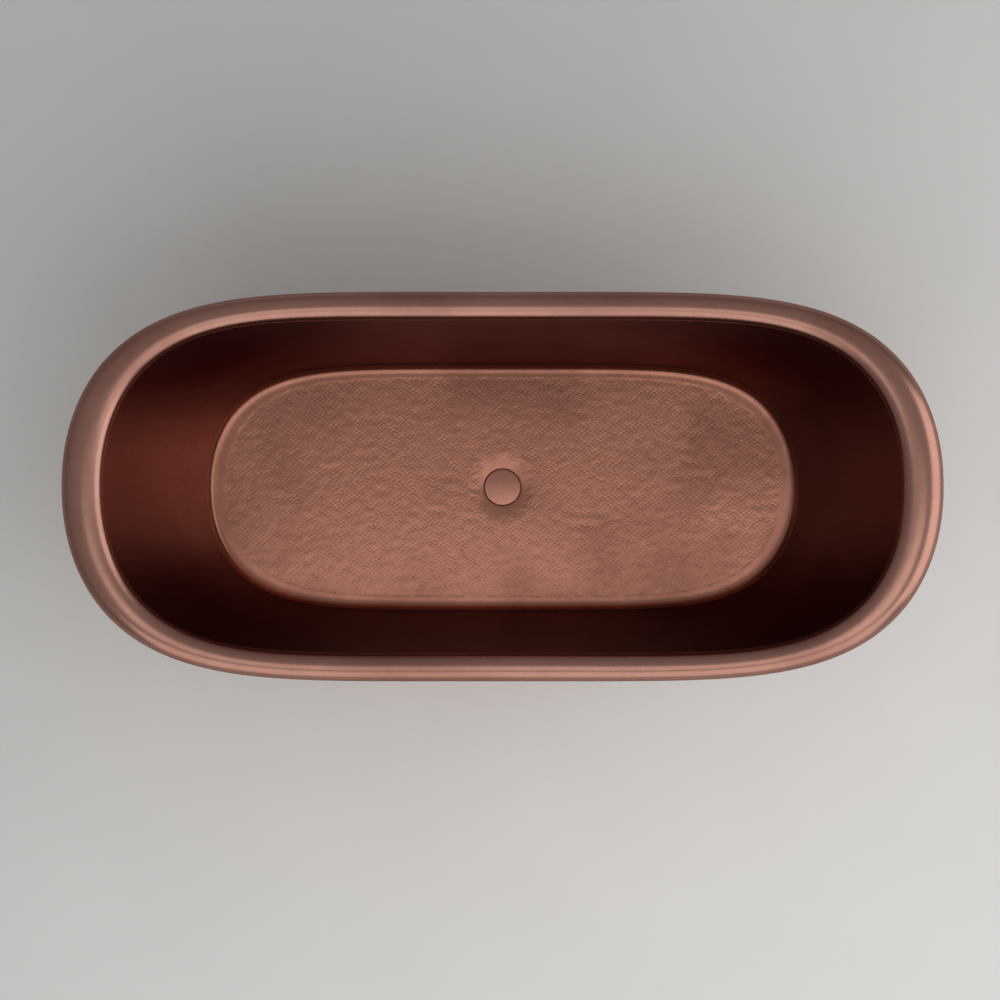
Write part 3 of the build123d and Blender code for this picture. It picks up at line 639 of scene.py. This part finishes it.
link(both.outputs["Value"], aged.inputs[0])
link(given.outputs["Patina"], aged.inputs[1])
link(aged.outputs["Value"], colour.inputs["Factor"])
link(given.outputs["Clean"], colour.inputs["A"])
link(given.outputs["Tarnished"], colour.inputs["B"])
link(aged.outputs["Value"], gloss.inputs["Value"])
link(given.outputs["Satin"], gloss.inputs["To Min"])
link(given.outputs["Dull"], gloss.inputs["To Max"])
link(colour.outputs["Result"], made.inputs["Color"])
link(gloss.outputs["Result"], made.inputs["Roughness"])
link(ripple.outputs["Fac"], made.inputs["Ripple"])
print("tarnish group nodes:", len(tarnish.nodes))

# %% [markdown]
# ## Copper and brass
# The metals share the tarnish group. Metallic, coat and bump strength are the same all over,
# so they are set on the shader itself. A thin clear coat stands for the wax or lacquer that
# makes the highlights on real bath copper paler than the metal. Clean metal turns white where it
# is seen at a low angle. Tarnished copper stays darker there, so the rim and the wall have an
# edge colour too.

# %% Metal finishes
COAT_ROUGHNESS = 0.22
RIPPLE_HEIGHT = 0.001
WHITE = (1, 1, 1, 1)


def metal(name, coat=0.0, bump=0.0, edge=WHITE, **values):
    """Metal finish from the tarnish group. The edge colour tints what it mirrors at a low angle."""
    finish = bpy.data.materials.new(name)
    finish.use_nodes = True
    tree = finish.node_tree
    surface = tree.nodes["Principled BSDF"]
    surface.inputs["Metallic"].default_value = 1.0
    surface.inputs["Coat Weight"].default_value = coat
    surface.inputs["Coat Roughness"].default_value = COAT_ROUGHNESS
    surface.inputs["Specular Tint"].default_value = edge
    effect = tree.nodes.new("ShaderNodeGroup")
    effect.node_tree = tarnish
    for label, value in values.items():
        effect.inputs[label.replace("_", " ")].default_value = value
    relief = add(tree, "ShaderNodeBump", Strength=bump, Distance=RIPPLE_HEIGHT)
    tree.links.new(effect.outputs["Color"], surface.inputs["Base Color"])
    tree.links.new(effect.outputs["Roughness"], surface.inputs["Roughness"])
    tree.links.new(effect.outputs["Ripple"], relief.inputs["Height"])
    tree.links.new(relief.outputs["Normal"], surface.inputs["Normal"])
    print("finish", name)
    return finish


COPPER = (0.40, 0.200, 0.155, 1)
BROWN = (0.19, 0.072, 0.052, 1)
rim_copper = metal(
    "rim_copper", coat=0.25, bump=0.05, edge=(0.45, 0.40, 0.40, 1),
    Clean=COPPER, Tarnished=BROWN, Cloud_Scale=3.0, Cloud_Amount=0.35,
    Mottle_Scale=40.0, Mottle_Amount=0.12, Satin=0.26, Dull=0.40,
)
# The wall's copper is a little darker than the rim's: painted shade on the wall, under real tarnish
# clouds
wall_copper = metal(
    "wall_copper", bump=0.06, edge=(0.28, 0.26, 0.27, 1),
    Clean=(0.36, 0.195, 0.172, 1), Tarnished=(0.15, 0.065, 0.056, 1), Cloud_Scale=2.6, Cloud_Amount=0.3,
    Mottle_Scale=30.0, Mottle_Amount=0.12, Satin=0.26, Dull=0.36,
)
hammered_copper = metal(
    "hammered_copper", coat=0.1, bump=0.08,
    Clean=(0.43, 0.185, 0.128, 1), Tarnished=BROWN, Cloud_Scale=4.2, Cloud_Amount=0.42,
    Mottle_Scale=45.0, Mottle_Amount=0.15, Ripple_Scale=240.0, Satin=0.28, Dull=0.38,
)
shell_copper = metal(
    "shell_copper", coat=0.2, bump=0.08,
    Clean=(0.38, 0.172, 0.128, 1), Tarnished=BROWN, Cloud_Scale=2.4, Cloud_Amount=0.6,
    Mottle_Scale=36.0, Mottle_Amount=0.2, Satin=0.28, Dull=0.45,
)
cap_copper = metal(
    "cap_copper", coat=0.1,
    Clean=(0.42, 0.190, 0.138, 1), Tarnished=BROWN, Cloud_Scale=9.0, Cloud_Amount=0.3,
    Mottle_Scale=90.0, Mottle_Amount=0.1, Satin=0.28, Dull=0.38,
)

# %% Brass and steel
waste_brass = metal(
    "waste_brass", bump=0.03,
    Clean=(0.52, 0.36, 0.15, 1), Tarnished=(0.20, 0.12, 0.05, 1), Cloud_Scale=14.0, Cloud_Amount=0.6,
    Mottle_Scale=120.0, Mottle_Amount=0.3, Satin=0.25, Dull=0.5,
)
zinc_steel = metal(
    "zinc_steel", bump=0.03,
    Clean=(0.52, 0.53, 0.54, 1), Tarnished=(0.26, 0.25, 0.23, 1), Cloud_Scale=30.0, Cloud_Amount=0.6,
    Mottle_Scale=240.0, Mottle_Amount=0.35, Satin=0.28, Dull=0.5,
)

# %% Painted corner shade of the wall
tree = wall_copper.node_tree
# The painted corner shade darkens and dulls the wall's copper
reader = add(tree, "ShaderNodeAttribute", attribute_name="patina")
tree.links.new(reader.outputs["Fac"], tree.nodes["Group"].inputs["Patina"])
print("wall finish reads:", reader.attribute_name)

# %% [markdown]
# ## Paint, rubber, plastic and timber
# The frame under the basin is hidden in use, but it is part of the tub, so it gets real
# finishes too: satin black paint with a fine orange peel, grey rubber, pale plastic and
# planed softwood with its rings stretched along the rail.

# %% Plain finishes
GRAIN_HEIGHT = 0.0004
GLOSS_SPREAD = 0.08


def speckled(name, dark, pale, scale, rough, bump):
    """Non-metal finish whose colour, gloss and relief follow one noise."""
    finish = bpy.data.materials.new(name)
    finish.use_nodes = True
    tree = finish.node_tree
    surface = tree.nodes["Principled BSDF"]
    coords = add(tree, "ShaderNodeTexCoord")
    grain = add(tree, "ShaderNodeTexNoise", Scale=scale, Detail=4.0, Roughness=0.6)
    tone = add(tree, "ShaderNodeMix", data_type="RGBA")
    tone.inputs["A"].default_value = dark
    tone.inputs["B"].default_value = pale
    shine = add(tree, "ShaderNodeMapRange", To_Min=rough - GLOSS_SPREAD, To_Max=rough + GLOSS_SPREAD)
    relief = add(tree, "ShaderNodeBump", Strength=bump, Distance=GRAIN_HEIGHT)
    tree.links.new(coords.outputs["Object"], grain.inputs["Vector"])
    tree.links.new(grain.outputs["Fac"], tone.inputs["Factor"])
    tree.links.new(grain.outputs["Fac"], shine.inputs["Value"])
    tree.links.new(grain.outputs["Fac"], relief.inputs["Height"])
    tree.links.new(tone.outputs["Result"], surface.inputs["Base Color"])
    tree.links.new(shine.outputs["Result"], surface.inputs["Roughness"])
    tree.links.new(relief.outputs["Normal"], surface.inputs["Normal"])
    print("finish", name)
    return finish


frame_paint = speckled(
    "frame_paint", (0.012, 0.012, 0.013, 1), (0.035, 0.035, 0.038, 1), scale=300.0, rough=0.42, bump=0.25
)
grey_rubber = speckled(
    "grey_rubber", (0.020, 0.020, 0.020, 1), (0.055, 0.054, 0.052, 1), scale=420.0, rough=0.75, bump=0.35
)
guide_plastic = speckled(
    "guide_plastic", (0.62, 0.61, 0.57, 1), (0.74, 0.73, 0.69, 1), scale=160.0, rough=0.40, bump=0.10
)

# %% Timber rails
GRAIN_STRETCH = (6, 160, 90)

timber = speckled(
    "timber", (0.42, 0.27, 0.14, 1), (0.62, 0.44, 0.26, 1), scale=1.0, rough=0.60, bump=0.30
)
tree = timber.node_tree
grain = next(node for node in tree.nodes if node.type == "TEX_NOISE")
coords = next(node for node in tree.nodes if node.type == "TEX_COORD")
stretch = add(tree, "ShaderNodeMapping")
stretch.inputs["Scale"].default_value = GRAIN_STRETCH
tree.links.new(coords.outputs["Object"], stretch.inputs["Vector"])
tree.links.new(stretch.outputs["Vector"], grain.inputs["Vector"])
print("timber grain runs along X")

# %% [markdown]
# ## Give every piece its finish
# The new pieces and the CAD solids that still show each get one of the finishes.

# %% Assign finishes
for piece, finish in (
    (rolled_rim, rim_copper),
    (bath_wall, wall_copper),
    (hammered_floor, hammered_copper),
    (front_shell, shell_copper),
    (back_shell, shell_copper),
    (flared_plinth, shell_copper),
    (drain_cap, cap_copper),
):
    piece.data.materials.append(finish)

finish_of_slot = {
    "rim_copper": rim_copper,
    "wall_copper": wall_copper,
    "hammered_copper": hammered_copper,
    "shell_copper": shell_copper,
    "cap_copper": cap_copper,
    "waste_brass": waste_brass,
    "steel": zinc_steel,
    "frame_paint": frame_paint,
    "rubber": grey_rubber,
    "guide_plastic": guide_plastic,
    "timber": timber,
}
for name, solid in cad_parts.items():
    for place in solid.material_slots:
        place.material = finish_of_slot[place.material.name.split(".")[0]]
print("solids with a finish:", len(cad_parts))

# %% [markdown]
# ## Floor, light and camera
# The floor is plain and pale. Metal shows what stands around it, so the light matters as much
# as the finish: two soft panels overhead, the right one brighter, one panel to the right and
# one in front, with gaps between them that draw the thin dark lines along the rim. No panel
# stands at the back or on the left, where the world alone gives a low even light, brighter
# overhead. The camera looks straight down from high up with a long lens.

# %% Floor
STAGE_REACH = 20
STAGE_DROP = 0.0005

floor_shape = bmesh.new()
bmesh.ops.create_grid(floor_shape, x_segments=8, y_segments=8, size=STAGE_REACH)
bmesh.ops.translate(floor_shape, vec=(0, 0, -STAGE_DROP), verts=floor_shape.verts)
floor_mesh = bpy.data.meshes.new("floor")
floor_shape.to_mesh(floor_mesh)
floor_shape.free()
floor = bpy.data.objects.new("floor", floor_mesh)
bpy.context.collection.objects.link(floor)
pale_floor = speckled(
    "pale_floor", (0.74, 0.73, 0.71, 1), (0.80, 0.79, 0.77, 1), scale=3.0, rough=0.6, bump=0.0
)
floor_mesh.materials.append(pale_floor)
print("floor", 2 * STAGE_REACH, "m wide, finish", pale_floor.name)

# %% Soft panels
TUB_MIDDLE = (0, 0, 0.4)


def soft_panel(name, place, aim, width, height, level):
    """Area lamp that shines at a level, seen in the metal but not by the camera."""
    lamp = bpy.data.lights.new(name, "AREA")
    lamp.shape = "RECTANGLE"
    lamp.size = width
    lamp.size_y = height
    lamp.energy = level * math.pi * width * height
    panel = bpy.data.objects.new(name, lamp)
    panel.location = place
    if aim is not None:
        panel.rotation_euler = (Vector(aim) - Vector(place)).to_track_quat("-Z", "Y").to_euler()
    panel.visible_camera = False
    bpy.context.collection.objects.link(panel)
    print("panel", name, "power", round(lamp.energy))


soft_panel("overhead_left", (-0.2, -0.69, 2.6), None, 1.4, 1.22, 0.84)
soft_panel("overhead_right", (0.95, -0.69, 2.6), None, 0.9, 1.22, 1.12)
soft_panel("front_panel", (0.4, -3.55, 2.25), TUB_MIDDLE, 6.0, 3.6, 1.05)
soft_panel("right_panel", (3.95, -0.3, 2.15), TUB_MIDDLE, 5.0, 3.4, 1.45)

# %% World
LOW_LIGHT = 0.22
OVERHEAD_LIGHT = 0.42

world = bpy.data.worlds.new("studio")
world.use_nodes = True
sky = world.node_tree
bpy.context.scene.world = world
direction = add(sky, "ShaderNodeTexCoord")
towards = add(sky, "ShaderNodeVectorMath", operation="DOT_PRODUCT")
towards.inputs[1].default_value = (0, 0, 1)
level = add(
    sky, "ShaderNodeMapRange", From_Min=0.0, From_Max=1.0, To_Min=LOW_LIGHT, To_Max=OVERHEAD_LIGHT
)
sky.links.new(direction.outputs["Generated"], towards.inputs[0])
sky.links.new(towards.outputs["Value"], level.inputs["Value"])
sky.links.new(level.outputs["Result"], sky.nodes["Background"].inputs["Strength"])
sky.nodes["Background"].inputs["Color"].default_value = WHITE
print("world light", LOW_LIGHT, "at the sides,", OVERHEAD_LIGHT, "overhead")

# %% Camera
LENS_LENGTH = 156.3
CAMERA_PLACE = (-0.005, -0.026, 9.0)

lens = bpy.data.cameras.new("view_from_above")
lens.lens = LENS_LENGTH
lens.sensor_width = 36
lens.clip_end = 100
camera = bpy.data.objects.new("view_from_above", lens)
camera.location = CAMERA_PLACE
bpy.context.collection.objects.link(camera)
bpy.context.scene.camera = camera
bpy.context.scene.view_settings.view_transform = "Standard"
print("camera at", CAMERA_PLACE, "with a lens of", LENS_LENGTH, "mm")
